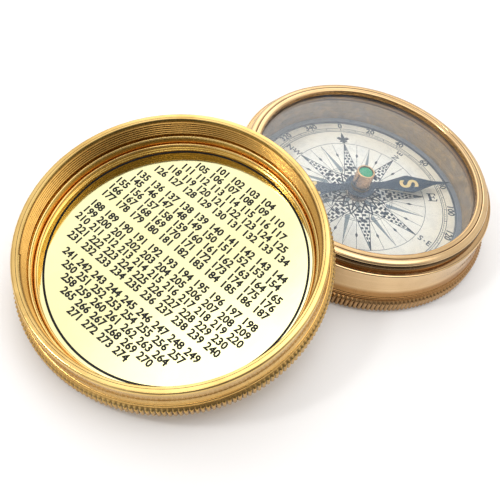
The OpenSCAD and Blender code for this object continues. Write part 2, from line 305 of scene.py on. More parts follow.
# Draws a profile of (radius, height) points. Each entry of rounds is (size, segments, corner numbers).
def drawProfile(points, closed, rounds):
    bm = bmesh.new()
    chain = [bm.verts.new((radius, 0, height)) for radius, height in points]
    for first, second in zip(chain, chain[1:]):
        bm.edges.new((first, second))
    if closed:
        bm.edges.new((chain[-1], chain[0]))
    for size, segments, corners in rounds:
        bmesh.ops.bevel(bm, geom=[chain[corner] for corner in corners], offset=size, offset_type="OFFSET",
                        affect="VERTICES", segments=segments, profile=0.5, material=-1)
    return bm


def spinRound(bm, geom, angle, steps, **settings):
    return bmesh.ops.spin(bm, geom=geom, cent=(0, 0, 0), axis=(0, 0, 1), angle=angle, steps=steps, **settings)


def turned(points, steps=288, closed=True, rounds=()):
    bm = drawProfile(points, closed, rounds)
    spinRound(bm, bm.verts[:] + bm.edges[:], fullTurn, steps, use_merge=True)
    return bm


# A disc with a milled edge: two teeth are turned, cut and then repeated all round
def milledDisc(points, edge):
    bm = drawProfile(points, False, edge["rounds"])
    columns = len(edge["shape"])
    pair = fullTurn * 2 / edge["teeth"]
    spinRound(bm, bm.verts[:] + bm.edges[:], pair, columns * 2)
    for vert in bm.verts:
        radius = math.hypot(vert.co.x, vert.co.y)
        if radius > edge["root"]:
            column = round(math.atan2(vert.co.y, vert.co.x) / pair * columns * 2)
            depth = (radius - edge["root"]) * edge["shape"][column % columns]
            vert.co.xy *= (radius - depth) / radius
    rest = fullTurn - pair
    spinRound(bm, bm.verts[:] + bm.edges[:] + bm.faces[:], rest, edge["teeth"] // 2 - 1, use_duplicate=True)
    return bm


def joinInLoop(bm, verts):
    return [bm.edges.new(ends) for ends in zip(verts, verts[1:] + verts[:1])]


ridgeShape = {
    "foot": 0.38,  # half its width, over the pitch
    "crest": 0.15,  # over the foot
    "sink": 0.1,  # how far the foot goes into the wall
    "perTurn": 144,  # steps
}


# A screw thread as one ridge that winds up a wall. A negative depth points inwards.
def windThread(wall, thread):
    bm = bmesh.new()
    foot = thread["pitch"] * ridgeShape["foot"]
    crest = foot * ridgeShape["crest"]
    inner = thread["radius"] - math.copysign(ridgeShape["sink"], thread["depth"])
    outer = thread["radius"] + thread["depth"]
    corners = [(inner, -foot), (outer, -crest), (outer, crest), (inner, foot)]
    section = [bm.verts.new((radius, 0, thread["start"] + height)) for radius, height in corners]
    steps = int(ridgeShape["perTurn"] * thread["turns"])
    climb = (0, 0, thread["pitch"] / ridgeShape["perTurn"])
    spun = spinRound(bm, section + joinInLoop(bm, section), fullTurn * thread["turns"], steps, dvec=climb)
    last = [item for item in spun["geom_last"] if isinstance(item, bmesh.types.BMVert)]
    bm.faces.new(section)
    bmesh.ops.contextual_create(bm, geom=last)
    mesh = bpy.data.meshes.new("thread")
    bm.to_mesh(mesh)
    bm.free()
    wall.from_mesh(mesh)
    bpy.data.meshes.remove(mesh)


weld = 0.0004  # points nearer to each other than this become one
creaseAngle = math.radians(32)  # an edge that turns further isn't smoothed


def addPiece(name, bm, place, material, body, nodes=()):
    bmesh.ops.remove_doubles(bm, verts=bm.verts, dist=weld)
    bmesh.ops.recalc_face_normals(bm, faces=bm.faces)
    for face in bm.faces:
        face.smooth = True
    mesh = bpy.data.meshes.new(name)
    bm.to_mesh(mesh)
    bm.free()
    mesh.transform(place @ Matrix.Scale(mm, 4))
    mesh.set_sharp_from_angle(angle=creaseAngle)
    mesh.materials.append(material)
    piece = bpy.data.objects.new(name, mesh)
    scene.collection.objects.link(piece)
    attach(piece, body)
    if nodes:
        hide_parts(*nodes)


def dressNode(node, material):
    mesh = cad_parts[node].data
    mesh.materials.clear()
    mesh.materials.append(material)


# Flat shapes for print: each lies on z = 0 and gets its thickness at the end
inkThickness = 0.02


def inkShape(bm, points, turn=0.0):
    face = bm.faces.new([bm.verts.new((x, y, 0)) for x, y in points])
    bmesh.ops.rotate(bm, cent=(0, 0, 0), matrix=Matrix.Rotation(math.radians(turn), 3, "Z"), verts=face.verts)
    return face


def inkLine(bm, start, end, width, turn=0.0):
    along = (Vector(end) - Vector(start)).normalized() * width / 2
    side = Vector((-along.y, along.x))
    inkShape(bm, [Vector(start) - side, Vector(end) - side, Vector(end) + side, Vector(start) + side], turn)


def inkRing(bm, radius, width):
    edge = bm.edges.new([bm.verts.new((radius + way * width / 2, 0, 0)) for way in (-1, 1)])
    spinRound(bm, [*edge.verts, edge], fullTurn, steps=240, use_merge=True)


def thickenInk(bm, level, thickness=inkThickness):
    bmesh.ops.recalc_face_normals(bm, faces=bm.faces)
    down = [face for face in bm.faces if face.normal.z < 0]
    bmesh.ops.reverse_faces(bm, faces=down)
    bmesh.ops.solidify(bm, geom=bm.faces[:], thickness=thickness)
    lowest = min(vert.co.z for vert in bm.verts)
    bmesh.ops.translate(bm, vec=(0, 0, level - lowest), verts=bm.verts)


# Makes flat letters bolder: every point moves out from the strokes that it bounds
def embolden(bm, width):
    ways = {}
    sharpest = 0.5  # limits how far the tip of a pointed corner moves
    for edge in bm.edges:
        if edge.is_boundary:
            loop = edge.link_loops[0]
            along = (loop.link_loop_next.vert.co - loop.vert.co).normalized()
            for vert in edge.verts:
                ways.setdefault(vert, []).append(Vector((along.y, -along.x, 0)))
    for vert, outs in ways.items():
        vert.co += (outs[0] + outs[-1]) * width / max(1 + outs[0].dot(outs[-1]), sharpest)


def stampText(bm, body, size, place, bold, resolution=3):
    curve = bpy.data.curves.new("text", "FONT")
    curve.body = body
    curve.size = size
    curve.align_x = curve.align_y = "CENTER"
    curve.resolution_u = resolution
    holder = bpy.data.objects.new("text", curve)
    mesh = bpy.data.meshes.new_from_object(holder)
    letters = bmesh.new()
    letters.from_mesh(mesh)
    nearest = 0.0002  # over the letter's size: points nearer to each other become one
    bmesh.ops.remove_doubles(letters, verts=letters.verts, dist=size * nearest)
    embolden(letters, bold)
    bmesh.ops.transform(letters, matrix=place, verts=letters.verts)
    letters.to_mesh(mesh)
    letters.free()
    bm.from_mesh(mesh)
    bpy.data.objects.remove(holder)
    bpy.data.curves.remove(curve)
    bpy.data.meshes.remove(mesh)


print("helpers ready")

# The case
caseFinish = {
    "bright": (0.83, 0.595, 0.335), "warm": (0.58, 0.37, 0.17), "deep": (0.36, 0.18, 0.06),
    "dark": (0.06, 0.028, 0.012),
    "fineness": 7.0, "banding": 0.3, "ageing": 0.45, "spots": 0.02, "roughness": 0.11, "markDepth": 0.002,
    "zones": (
        (36.6, 37.05, 0.5, 3.3, 0.35, "dark", 0.85),
        (37.3, 37.6, 0.5, 3.4, 0.1, "deep", 0.6),
        # painted darker reflection of the shaded floor on the bead and cove
        (35.3, 36.7, 3.9, 5.7, 1.4, "deep", 0.95),
        # painted shade in the step between bead and cove
        (35.9, 36.04, 4.72, 4.88, 0.05, "dark", 0.7),
        # painted shade in the corner between neck and shoulder
        (33.95, 34.9, 12.6, 12.7, 0.05, "deep", 0.45),
        # painted shade in the groove at the shoulder's edge
        (34.97, 35.1, 12.4, 12.7, 0.02, "dark", 0.6),
        # painted shade on the thread of the neck
        (33.5, 34.05, 12.72, 13.4, 0.06, "deep", 0.7),
        # painted shade just under the bezel
        (33.5, 34.05, 13.45, 14.5, 0.06, "dark", 0.8),
    ),
}
caseBrass = makeBrass("caseBrass", casePlace, caseFinish)

milledEdge = {
    "teeth": 200,
    "root": 37.05,
    "shape": (1.0, 0.55, 0.1, 0.0, 0.1, 0.55),  # depth of the groove over the width of one tooth
    "rounds": [(0.14, 2, (1, 2, 3, 4))],
}
caseBottom = {
    "profile": [(0, 0), (36.5, 0), (37.5, 0.62), (37.5, 3.22), (36.5, 3.84), (32.45, 3.84), (32.45, 4.34),
                (31.5, 4.34), (31.5, 1.8), (0, 1.8)],
}


def makeCaseBottom(sizes):
    bm = milledDisc(sizes["profile"], milledEdge)
    addPiece("case_bottom_milled", bm, casePlace, caseBrass, "case", ["case_bottom"])


caseWall = {
    "bead": ((36.17, 4.27), 0.43),
    "line": [(35.97, 4.70), (35.97, 4.90)],
    "cove": ((36.17, 4.90), (35.45, 8.0), 0.146),
    "upper": [(35.45, 12.42), (35.3, 12.6), (35.1, 12.66), (35.04, 12.56), (34.98, 12.66), (33.72, 12.66),
              (33.72, 13.98), (33.6, 14.10), (32.6, 14.10), (32.6, 12.3), (31.5, 12.3), (31.5, 4.34),
              (32.5, 4.34), (32.5, 3.84)],
    "thread": {"radius": 33.72, "depth": 0.28, "pitch": 0.62, "start": 12.98, "turns": 1.5},
}


def makeCaseWall(sizes):
    bm = turned(arc(*sizes["bead"], -90, 90) + sizes["line"] + bow(*sizes["cove"]) + sizes["upper"])
    windThread(bm, sizes["thread"])
    addPiece("case_wall_turned", bm, casePlace, caseBrass, "case", ["case_wall"])


bezelFinish = dict(
    caseFinish, fineness=10.0, banding=0.5, roughness=0.09, markDepth=0.0035,
    zones=(
        (30.3, 31.2, 14.9, 15.3, 0.1, "warm", 0.35),
        # painted shade on the inner wall above the glass
        (30.3, 30.4, 13.9, 14.9, 0.1, "deep", 0.9),
        # painted shade in the groove on top
        (31.84, 31.96, 14.9, 15.24, 0.04, "dark", 0.95),
        # painted shade under the roll
        (32.7, 33.9, 14.4, 14.66, 0.06, "dark", 0.7),
    ),
)
bezelBrass = makeBrass("bezelBrass", casePlace, bezelFinish)
bezel = {
    "plug": [(30.35, 13.9), (32.55, 13.9), (32.55, 14.45), (33.62, 14.45)],
    "roll": ((32.2, 14.62), 1.55),
    "rollRise": 0.715,
    "groove": [(32.08, 15.29), (31.99, 15.2), (31.9, 15.0), (31.81, 15.2)],
    "flat": [(31.74, 15.27), (31.3, 15.29), (31.22, 15.27), (31.14, 15.29)],
    "inner": ((30.83, 14.81), 0.48),
}


def makeBezel(sizes):
    roll = arc(*sizes["roll"], 0, 90, count=10, rise=sizes["rollRise"])
    inner = arc(*sizes["inner"], 90, 180, count=6)
    bm = turned(sizes["plug"] + roll + sizes["groove"] + sizes["flat"] + inner, steps=320)
    addPiece("bezel_turned", bm, casePlace, bezelBrass, "case", ["bezel_ring"])


propFinish = dict(caseFinish, bright=(0.40, 0.25, 0.11), warm=(0.27, 0.15, 0.06), zones=(), roughness=0.28,
                  spots=0.0)
propBrass = makeBrass("propBrass", casePlace, propFinish)
propRing = {
    "profile": [(30.4, 11.3), (31.45, 11.3), (31.45, 12.3), (30.4, 12.3)],
    "rounds": [(0.2, 3, (0, 3))],
}


def makePropRing(sizes):
    bm = turned(sizes["profile"], rounds=sizes["rounds"])
    addPiece("prop_ring_turned", bm, casePlace, propBrass, "case", ["glass_prop_ring"])


makeCaseBottom(caseBottom)
makeCaseWall(caseWall)
makeBezel(bezel)
makePropRing(propRing)
print("case turned")

# Glass and gasket
glassPane = {
    "profile": [(0, 12.6), (32.55, 12.6), (32.55, 13.9), (0, 13.9)],
    "rounds": [(0.18, 1, (1, 2))],
    "tint": (0.997, 1.0, 0.997),
    "haze": (0.0, 0.035),  # lowest and highest roughness
    "ior": 1.5,
}


def makeGlassMaterial(look):
    material, tree, inputs, where = startMaterial("clearGlass", casePlace)
    grain = useGroup(tree, printGrain, Place=where)
    haze = mapRange(tree, grain["Fade"], low=0.3, high=1.0, to=look["haze"])
    feed(tree, inputs, colour=look["tint"], roughness=haze, ior=look["ior"], transmission=1.0)
    shader = next(node for node in tree.nodes if node.type == "BSDF_PRINCIPLED")
    output = next(node for node in tree.nodes if node.type == "OUTPUT_MATERIAL")
    mix = addNode(tree, "MixShader", {  # light comes through without a shadow
        0: addNode(tree, "LightPath").outputs["Is Shadow Ray"],
        1: shader.outputs[0],
        2: addNode(tree, "BsdfTransparent", {"Color": withAlpha(look["tint"])}).outputs[0],
    })
    tree.links.new(mix.outputs[0], output.inputs["Surface"])
    return material


def makeGlass(sizes):
    bm = turned(sizes["profile"], steps=192, closed=False, rounds=sizes["rounds"])
    addPiece("glass_pane", bm, casePlace, makeGlassMaterial(sizes), "case", ["glass"])


# A faint sheet on the glass: a painted veil of reflected light with a blue tint, patchy with wiping smears
# and specks of lint
glassVeil = {
    "radius": 30.3, "bottom": 13.904, "top": 13.912,
    "veilBlue": (0.30, 0.62, 1.0), "lint": (1.0, 1.0, 1.0), "lintShare": 0.15,
    "alpha": (0.012, 0.042), "patches": 0.4, "smears": 0.6, "roughness": 0.6, "smearRoughness": 0.2,
}


def makeGlassFilm(sizes):
    material, tree, inputs, where = startMaterial("glassVeil", casePlace)
    aged = useGroup(tree, handling, Place=where, Spots=0.0)
    grain = useGroup(tree, printGrain, Place=where)
    cloud = scaled(tree, aged["Smudge"], sizes["smears"], scaled(tree, grain["Fade"], sizes["patches"]))
    # the sheet's colour is painted reflection, bluish, with a little white lint
    colour = mixColour(tree, scaled(tree, grain["Fibre"], sizes["lintShare"]), sizes["veilBlue"], sizes["lint"])
    roughness = scaled(tree, aged["Smudge"], sizes["smearRoughness"], sizes["roughness"])
    alpha = mapRange(tree, cloud, low=0.0, high=1.0, to=sizes["alpha"])
    feed(tree, inputs, colour=colour, roughness=roughness, specular=0.0, alpha=alpha)
    low, high, edge = sizes["bottom"], sizes["top"], sizes["radius"]
    bm = turned([(0, low), (edge, low), (edge, high), (0, high)], steps=96, closed=False)
    addPiece("glass_veil", bm, casePlace, material, "case")


gasket = {"dark": (0.10, 0.065, 0.035), "light": (0.17, 0.115, 0.065), "roughness": 0.85, "grainDepth": 0.03}


def makeGasketMaterial(look):
    material, tree, inputs, where = startMaterial("gasketFelt", casePlace)
    grain = useGroup(tree, printGrain, Place=where)
    colour = mixColour(tree, grain["Fibre"], look["dark"], look["light"])
    feed(tree, inputs, colour=colour, roughness=look["roughness"],
         normal=bump(tree, grain["Fibre"], look["grainDepth"]))
    return material


makeGlass(glassPane)
makeGlassFilm(glassVeil)
dressNode("glass_gasket", makeGasketMaterial(gasket))
print("glass fitted")

# Sleeve and ring round the dial
liner = {
    "profile": [(30.95, 3.4), (31.45, 3.4), (31.45, 11.3), (30.95, 11.3)],
    "pale": (0.43, 0.305, 0.165), "grey": (0.27, 0.20, 0.125), "shine": (0.64, 0.41, 0.17),
    # the top colour is painted shade under the prop ring
    "top": (0.12, 0.065, 0.025),
    "ringShadowEdge": (10.35, 10.75),  # heights between which it turns to the painted shade under the prop ring
    "fineness": 3.0, "shineShare": 0.55, "roughness": 0.42, "shineRoughness": -0.1, "metallic": 0.25,
    "markDepth": 0.01,
}
dialRing = {
    "profile": [(29.25, 2.9), (31.45, 2.9), (31.45, 3.4), (29.25, 3.4)],
    "rounds": [(0.08, 2, (2, 3))],
    "paint": (0.21, 0.235, 0.265), "rub": (0.36, 0.37, 0.38), "line": (0.06, 0.07, 0.09),
    "lineEdge": (29.30, 29.46),  # radii between which the dark line ends
    "fineness": 4.0, "rubShare": 0.5, "roughness": 0.38, "fadeRoughness": 0.15, "markDepth": 0.006,
}


def makeLiner(sizes):
    material, tree, inputs, where = startMaterial("greyLiner", casePlace)
    lathe = useGroup(tree, latheMarks, Place=where, Fineness=sizes["fineness"])
    aged = useGroup(tree, handling, Place=where, Spots=0.0)
    colour = mixColour(tree, lathe["Marks"], sizes["grey"], sizes["pale"])
    colour = mixColour(tree, scaled(tree, aged["Smudge"], sizes["shineShare"]), colour, sizes["shine"])
    # painted shade under the prop ring along the top
    colour = mixColour(tree, mapRange(tree, lathe["Height"], *sizes["ringShadowEdge"]), colour, sizes["top"])
    roughness = scaled(tree, aged["Smudge"], sizes["shineRoughness"], sizes["roughness"])
    feed(tree, inputs, colour=colour, roughness=roughness, metallic=sizes["metallic"],
         normal=bump(tree, lathe["Marks"], sizes["markDepth"]))
    bm = turned(sizes["profile"])
    addPiece("case_liner_sleeve", bm, casePlace, material, "case", ["case_liner"])


def makeDialRing(sizes):
    material, tree, inputs, where = startMaterial("ringGrey", casePlace)
    lathe = useGroup(tree, latheMarks, Place=where, Fineness=sizes["fineness"])
    grain = useGroup(tree, printGrain, Place=where)
    colour = mixColour(tree, scaled(tree, lathe["Marks"], sizes["rubShare"]), sizes["paint"], sizes["rub"])
    edge = mapRange(tree, lathe["Radius"], *sizes["lineEdge"], to=(1, 0))
    colour = mixColour(tree, edge, colour, sizes["line"])
    roughness = scaled(tree, grain["Fade"], sizes["fadeRoughness"], sizes["roughness"])
    feed(tree, inputs, colour=colour, roughness=roughness,
         normal=bump(tree, lathe["Marks"], sizes["markDepth"]))
    bm = turned(sizes["profile"], rounds=sizes["rounds"])
    addPiece("dial_ring_flat", bm, casePlace, material, "case", ["dial_ring"])


makeLiner(liner)
makeDialRing(dialRing)

# The dial card and its print
dialCard = {
    "profile": [(1.25, 2.6), (31.45, 2.6), (31.45, 2.9), (1.25, 2.9)],
    "paper": (0.975, 0.965, 0.895), "cream": (0.955, 0.90, 0.75), "fibre": (0.60, 0.55, 0.45),
    "creamEdge": (18.0, 27.0),  # radii between which it turns cream
    "patches": 0.35, "fibreShare": 0.08, "roughness": 0.5, "fibreRoughness": 0.1, "grainDepth": 0.008,
    "ink": (0.012, 0.030, 0.055), "inkWorn": (0.14, 0.17, 0.20),
    "greyInk": (0.24, 0.30, 0.33), "greyWorn": (0.5, 0.54, 0.52), "inkRoughness": 0.5,
}


def makePaper(name, look):
    material, tree, inputs, where = startMaterial(name, dialPlace)
    grain = useGroup(tree, printGrain, Place=where)
    parts = useGroup(tree, latheMarks, Place=where, Fineness=1.0)
    outwards = mapRange(tree, parts["Radius"], *look["creamEdge"])
    colour = mixColour(tree, outwards, look["paper"], look["cream"])
    colour = mixColour(tree, scaled(tree, grain["Fade"], look["patches"]), colour, look["cream"])
    colour = mixColour(tree, scaled(tree, grain["Fibre"], look["fibreShare"]), colour, look["fibre"])
    roughness = scaled(tree, grain["Fibre"], look["fibreRoughness"], look["roughness"])
    feed(tree, inputs, colour=colour, roughness=roughness,
         normal=bump(tree, grain["Fibre"], look["grainDepth"]))
    return material


inkWear = {"from": 0.45, "share": 0.5, "roughness": 0.1, "specular": 0.25}


def makeInk(name, place, ink, worn, roughness):
    material, tree, inputs, where = startMaterial(name, place)
    grain = useGroup(tree, printGrain, Place=where)
    patchy = scaled(tree, mapRange(tree, grain["Fibre"], inkWear["from"], 1.0), inkWear["share"])
    feed(tree, inputs, colour=mixColour(tree, patchy, ink, worn), specular=inkWear["specular"],
         roughness=scaled(tree, grain["Fade"], inkWear["roughness"], roughness))
    return material


eighth = 45  # degrees between two long points of the star
dialPrint = {
    "level": 2.9,
    "greyThickness": 0.012,
    "rings": ((29.12, 0.16), (26.72, 0.17), (26.0, 0.11), (25.5, 0.19), (20.3, 0.13), (10.45, 0.12),
              (9.85, 0.12)),
    "ticks": {"every": 2, "start": 26.0, "short": (26.3, 0.11), "longEvery": 10, "long": (26.72, 0.2)},
    "numbers": {"every": 20, "radius": 27.9, "size": 2.65, "bold": 0.07},
    "marks": {"N.E": 45, "S.E": 135, "S": 180, "S.W": 225, "W": 270, "N.W": 315},
    "markRadius": 23.1,
    "pairMark": {"size": 2.6, "bold": 0.05, "reach": 1.35, "dot": 0.2},
    "loneMark": {"size": 3.51, "bold": 0.125},
    "east": [
        [(-1.1, -1.5), (-0.3, -1.5), (-0.3, 1.5), (-1.1, 1.5)],
        [(-1.5, 1.25), (1.2, 1.25), (1.2, 1.5), (-1.5, 1.5)],
        [(-1.5, -1.5), (1.2, -1.5), (1.3, -1.25), (-1.5, -1.25)],
        [(-0.3, -0.12), (0.6, -0.12), (0.6, 0.14), (-0.3, 0.14)],
        [(0.95, 0.65), (1.2, 0.65), (1.2, 1.3), (0.8, 1.3)],
        [(0.85, -1.3), (1.28, -1.3), (1.5, -0.6), (1.25, -0.6)],
        [(0.48, -0.52), (0.7, -0.52), (0.7, 0.52), (0.48, 0.52)],
    ],
    "north": {
        "spear": [(-0.42, 20.5), (0.42, 20.5), (0.62, 22.4), (0.42, 23.6), (0, 25.1), (-0.42, 23.6),
                  (-0.62, 22.4)],
        "bar": [(-1.25, 20.9), (1.25, 20.9), (1.05, 21.5), (-1.05, 21.5)],
        "leaf": [(0.62, 21.5), (1.35, 21.9), (2.0, 22.4), (1.55, 22.95), (0.95, 23.0), (0.6, 22.5)],
    },
    "star": {
        "tip": 20.3, "corner": (2.5, 5.75), "root": 2.0, "outline": 0.2, "foot": 0.32, "spine": 0.12,
        "tipGap": 0.02, "spineGap": 0.1, "firstCell": 0.7, "cell": 1.18, "filled": 0.62, "lastCell": 0.4,
        "solid": 3.0,
        "chequers": ((0.42, 1.0), (0.0, 0.6)),  # the inked share of the half width, in turn
    },
    "between": {
        "tip": 19.9, "foot": 8.1, "shoulder": (1.35, 9.4),
        "outline": 0.1, "farOutline": 0.07, "footLine": 0.22,
        "shade": [(0.05, 8.6), (1.35, 9.5), (0.05, 19.9)],
    },
    "thin": {"inner": 8.0, "outer": 20.2, "width": 0.1, "diamond": 15.5, "long": 1.05, "wide": 0.38},
    "middle": {
        # height on the spine, reach along the bearing between two points, width
        "lattice": ((4.6, 8.4, 0.42), (7.2, 4.2, 0.46)),
        "rib": ((1.5, 3.4), (2.6, 6.2), 0.3),
        "shade": [(0.1, 3.0), (1.25, 3.6), (0.1, 6.6)],
        "block": [(-0.75, 9.5), (0.75, 9.5), (0.6, 10.5), (-0.6, 10.5)],
    },
}


# A bearing on the dial as a turn from straight up
def bearing(degrees):
    return -degrees


# Two halves side by side: an outline, chequers towards the middle and a solid tip, grey on one half
def drawStarPoint(dark, grey, star, turn):
    tip, (cornerX, cornerY) = star["tip"], star["corner"]
    start = tip - star["solid"]

    def edgeAt(height):
        return cornerX * (tip - height) / (tip - cornerY)

    for way in (-1, 1):
        inkLine(dark, (way * cornerX, cornerY), (way * star["tipGap"], tip), star["outline"], turn)
        inkLine(dark, (0, star["root"]), (way * cornerX, cornerY), star["foot"], turn)
        height = cornerY + star["firstCell"]
        row = 0 if way < 0 else 1
        while height < start - star["lastCell"]:
            top = height + star["cell"] * star["filled"]
            inner, outer = star["chequers"][row % 2]
            cell = [(way * edgeAt(height) * inner, height), (way * edgeAt(height) * outer, height),
                    (way * edgeAt(top) * outer, top), (way * edgeAt(top) * inner, top)]
            inkShape(dark, cell[::way], turn)
            height += star["cell"]
            row += 1
        solid = [(0, start), (way * edgeAt(start), start), (0, tip)]
        inkShape(dark if way < 0 else grey, solid[::way], turn)
    inkLine(dark, (0, star["root"]), (0, tip - star["spineGap"]), star["spine"], turn)


def drawBetweenPoint(dark, grey, point, turn):
    tip, foot = (0, point["tip"]), (0, point["foot"])
    near, height = point["shoulder"]
    inkShape(grey, point["shade"], turn)
    inkLine(dark, (near, height), tip, point["outline"], turn)
    inkLine(dark, (-near, height), tip, point["farOutline"], turn)
    for way in (-1, 1):
        inkLine(dark, (way * near, height), foot, point["footLine"], turn)


def drawThinPoint(dark, thin, turn):
    inkLine(dark, (0, thin["inner"]), (0, thin["outer"]), thin["width"], turn)
    middle, wide, long = thin["diamond"], thin["wide"], thin["long"]
    inkShape(dark, [(0, middle - long), (wide, middle), (0, middle + long), (-wide, middle)], turn)


def drawMiddle(dark, grey, middle):
    halfWay = math.radians(eighth / 2)
    (nearX, nearY), (farX, farY), ribWidth = middle["rib"]
    for step in range(8):
        turn = bearing(eighth * step)
        for way in (-1, 1):
            for height, reach, width in middle["lattice"]:
                end = (way * math.sin(halfWay) * reach, math.cos(halfWay) * reach)
                inkLine(dark, (0, height), end, width, turn)
            inkLine(dark, (way * nearX, nearY), (way * farX, farY), ribWidth, turn)
        inkShape(grey, middle["shade"], turn)
        inkShape(dark, middle["block"], turn)


# The usual mark for north: a spear between two leaves on a short bar
def drawNorth(dark, north):
    inkShape(dark, north["spear"])
    inkShape(dark, north["bar"])
    for way in (-1, 1):
        inkShape(dark, [(way * x, y) for x, y in north["leaf"]][::way])


# The marks read outwards from the middle on the east side and inwards on the west side
def markPlace(degree, radius):
    if degree == 180:
        turn = 0
    else:
        turn = (90 if degree < 180 else 270) - degree
    angle = math.radians(90 - degree)
    spot = Matrix.Translation((radius * math.cos(angle), radius * math.sin(angle), 0))
    return spot @ Matrix.Rotation(math.radians(turn), 4, "Z")


def inkAt(bm, points, place):
    face = inkShape(bm, points)
    bmesh.ops.transform(bm, matrix=place, verts=face.verts)


def drawMarks(dark, sheet):
    pair, lone = sheet["pairMark"], sheet["loneMark"]
    dot = [(x * pair["dot"], y * pair["dot"]) for x, y in ((-1, -1), (1, -1), (1, 1), (-1, 1))]
    for letters, degree in sheet["marks"].items():
        place = markPlace(degree, sheet["markRadius"])
        if len(letters) == 1:
            stampText(dark, letters, lone["size"], place, bold=lone["bold"])
            continue
        for letter, way in ((letters[0], -1), (letters[2], 1)):
            spot = place @ Matrix.Translation((way * pair["reach"], 0, 0))
            stampText(dark, letter, pair["size"], spot, bold=pair["bold"])
        inkAt(dark, dot, place)
    for points in sheet["east"]:
        inkAt(dark, points, markPlace(90, sheet["markRadius"]))


def makeDial(card, sheet):
    bm = turned(card["profile"], steps=192)
    paper = makePaper("cardPaper", card)
    addPiece("dial_card_paper", bm, casePlace, paper, "case", ["dial_card"])
    dark, grey = bmesh.new(), bmesh.new()
    for radius, width in sheet["rings"]:
        inkRing(dark, radius, width)
    ticks = sheet["ticks"]
    for degree in range(0, 360, ticks["every"]):
        end, width = ticks["short"] if degree % ticks["longEvery"] else ticks["long"]
        inkLine(dark, (0, ticks["start"]), (0, end), width, bearing(degree))
    for step in range(8):
        drawStarPoint(dark, grey, sheet["star"], bearing(eighth * step))
        drawBetweenPoint(dark, grey, sheet["between"], bearing(eighth * (step + 0.5)))
        drawThinPoint(dark, sheet["thin"], bearing(eighth * (step + 0.25)))
        drawThinPoint(dark, sheet["thin"], bearing(eighth * (step + 0.75)))
    drawMiddle(dark, grey, sheet["middle"])
    drawNorth(dark, sheet["north"])
    drawMarks(dark, sheet)
    numbers = sheet["numbers"]
    for degree in range(0, 360, numbers["every"]):
        turn = Matrix.Rotation(math.radians(bearing(degree)), 4, "Z")
        spot = turn @ Matrix.Translation((0, numbers["radius"], 0))
        stampText(dark, str(degree), numbers["size"], spot, bold=numbers["bold"])
    thickenInk(dark, sheet["level"])
    thickenInk(grey, sheet["level"], sheet["greyThickness"])
    darkInk = makeInk("dialInk", dialPlace, card["ink"], card["inkWorn"], card["inkRoughness"])
    greyInk = makeInk("dialGreyInk", dialPlace, card["greyInk"], card["greyWorn"], card["inkRoughness"])
    addPiece("dial_print", dark, dialPlace, darkInk, "case")
    addPiece("dial_print_grey", grey, dialPlace, greyInk, "case")


makeDial(dialCard, dialPrint)
plateFinish = dict(caseFinish, roughness=0.35, zones=(), spots=0.0)
dressNode("dial_plate", makeBrass("plateBrass", casePlace, plateFinish))
print("dial printed")

# Pivot
steelFinish = {
    "light": (0.66, 0.58, 0.48), "dull": (0.30, 0.25, 0.21),
    "fineness": 9.0, "roughness": 0.1, "markRoughness": 0.06, "markDepth": 0.002,
}


def makeSteel(name, look):
    material, tree, inputs, where = startMaterial(name, casePlace)
    lathe = useGroup(tree, latheMarks, Place=where, Fineness=look["fineness"])
    colour = mixColour(tree, lathe["Marks"], look["light"], look["dull"])
    roughness = scaled(tree, lathe["Marks"], look["markRoughness"], look["roughness"])
    feed(tree, inputs, colour=colour, roughness=roughness, metallic=1.0,
         normal=bump(tree, lathe["Marks"], look["markDepth"]))
    return material


pivotSteel = makeSteel("pivotSteel", steelFinish)
pivotBoss = {
    "foot": [(0.36, 1.8), (1.2, 1.8), (1.2, 2.9), (3.2, 2.9)],
    "head": ((2.65, 3.25), 0.55),
    "bore": (0.36, 3.8),
}


def makePivotBoss(sizes):
    bm = turned(sizes["foot"] + arc(*sizes["head"], 0, 90) + [sizes["bore"]], steps=96)
    addPiece("pivot_boss_turned", bm, casePlace, pivotSteel, "case", ["pivot_boss"])


makePivotBoss(pivotBoss)
dressNode("pivot_pin", pivotSteel)

# Needle
needleBlade = {
    "bottom": 5.8, "top": 6.2, "hub": 4.2, "hole": 1.55, "edge": 0.06,
    "waist": ((7.3, 1.2), (10.5, 1.93), -0.09),
    "belly": ((14.72, 3.09), (16.14, 3.045), 0.11),
    "neck": ((22.6, 0.8), (25.4, 0.35), -0.086),
    "point": (28.15, 0.04),
    "blue": (0.012, 0.034, 0.065), "worn": (0.04, 0.075, 0.11),
    "spots": 0.03, "smudged": 0.7, "rubbed": 0.25, "metallic": 0.3,
    "roughness": 0.34, "grainRoughness": 0.12, "grainDepth": 0.004,
}
needleLetters = {
    "size": 7.3, "reach": 14.9, "bold": 0.16,
    "shape": (0.95, 1.05, 1, 1),  # a little narrower and taller than the font
    "paint": (0.84, 0.64, 0.28), "worn": (0.66, 0.50, 0.24), "roughness": 0.45,
}


def makeBluedSteel(look):
    material, tree, inputs, where = startMaterial("bluedSteel", needlePlace)
    aged = useGroup(tree, handling, Place=where, Spots=look["spots"])
    grain = useGroup(tree, printGrain, Place=where)
    colour = mixColour(tree, scaled(tree, aged["Smudge"], look["smudged"]), look["blue"], look["worn"])
    colour = mixColour(tree, scaled(tree, grain["Fibre"], look["rubbed"]), colour, look["worn"])
    roughness = scaled(tree, grain["Fibre"], look["grainRoughness"], look["roughness"])
    feed(tree, inputs, colour=colour, roughness=roughness, metallic=look["metallic"],
         normal=bump(tree, grain["Fibre"], look["grainDepth"]))
    return material


